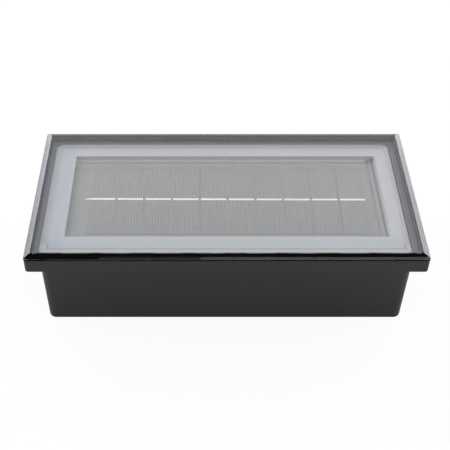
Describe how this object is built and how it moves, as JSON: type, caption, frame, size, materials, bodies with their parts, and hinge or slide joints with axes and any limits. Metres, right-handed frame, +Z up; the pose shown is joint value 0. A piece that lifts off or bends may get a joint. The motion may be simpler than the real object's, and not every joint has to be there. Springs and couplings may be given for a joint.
{
  "type": "recessed solar light",
  "caption": "Brick-sized recessed solar light: bevelled clear cover, lit frame round a solar panel, flanged black tray, battery door and switch port below.",
  "frame": {"origin": "centre of the flat base that the light stands on", "axes": "+X along the long side, +Z up through the cover, -Y the front as pictured"},
  "size_m": [0.2, 0.1, 0.0524],
  "materials": {
    "housing_black": "fine moulded grain",
    "cover_clear": "clear and glossy, polished bevels",
    "bond_black": "cured adhesive bead",
    "frosted": "frosted translucent",
    "carrier_white": "satin white",
    "screw_steel": "zinc plated",
    "panel_grey": "resin board",
    "cell_silicon": "grey silicon with fine fingers",
    "ribbon_tin": "tinned",
    "film_clear": "satin clear film",
    "strip_white": "white solder mask",
    "led_body": "phosphor face in a white body",
    "board_green": "green solder mask",
    "chip_black": "moulded",
    "ferrite": "dull ferrite",
    "capacitor_can": "sleeved can",
    "socket_cream": "natural nylon",
    "switch_steel": "stamped and plated",
    "lever_black": "moulded",
    "plug_rubber": "soft matte",
    "battery_sleeve": "plain blue sleeve over the can",
    "contact_nickel": "nickel plated",
    "lead_red": "smooth insulation",
    "lead_black": "smooth insulation",
    "door_black": "fine moulded grain",
    "seal_red": "silicone"
  },
  "bodies": {
    "light": {"housing": "housing_black", "cover": "cover_clear", "cover_bond": "bond_black", "light_frame": "frosted", "carrier": "carrier_white", "carrier_screws": "screw_steel", "panel_board": "panel_grey", "solar_cells": "cell_silicon", "cell_ribbons": "ribbon_tin", "panel_film": "film_clear", "panel_leads": "lead_red", "led_strip_front": "strip_white", "led_strip_back": "strip_white", "led_strip_left": "strip_white", "led_strip_right": "strip_white", "leds_front": "led_body", "leds_back": "led_body", "leds_left": "led_body", "leds_right": "led_body", "strip_jumpers": "lead_red", "led_leads": "lead_red", "control_board": "board_green", "driver_chip": "chip_black", "power_inductor": "ferrite", "capacitors": "capacitor_can", "chip_resistors": "chip_black", "lead_sockets": "socket_cream", "board_screws": "screw_steel", "switch_shell": "switch_steel", "battery_cell": "battery_sleeve", "contact_plate_plus": "contact_nickel", "contact_plate_minus": "contact_nickel", "contact_spring": "contact_nickel", "battery_leads": "lead_black"},
    "switch": {"switch_lever": "lever_black"},
    "plug": {"port_plug": "plug_rubber"},
    "door": {"battery_door": "door_black", "door_seal": "seal_red", "door_screws": "screw_steel"}
  },
  "joints": [
    {"name": "switch_slide", "type": "slide", "parent": "light", "child": "switch", "axis": [1, 0, 0], "range_m": [0, 0.002]},
    {"name": "plug_pull", "type": "slide", "parent": "light", "child": "plug", "axis": [0, 0, -1], "range_m": [0, 0.012]},
    {"name": "door_lift", "type": "slide", "parent": "light", "child": "door", "axis": [0, 0, -1], "range_m": [0, 0.02]}
  ]
}
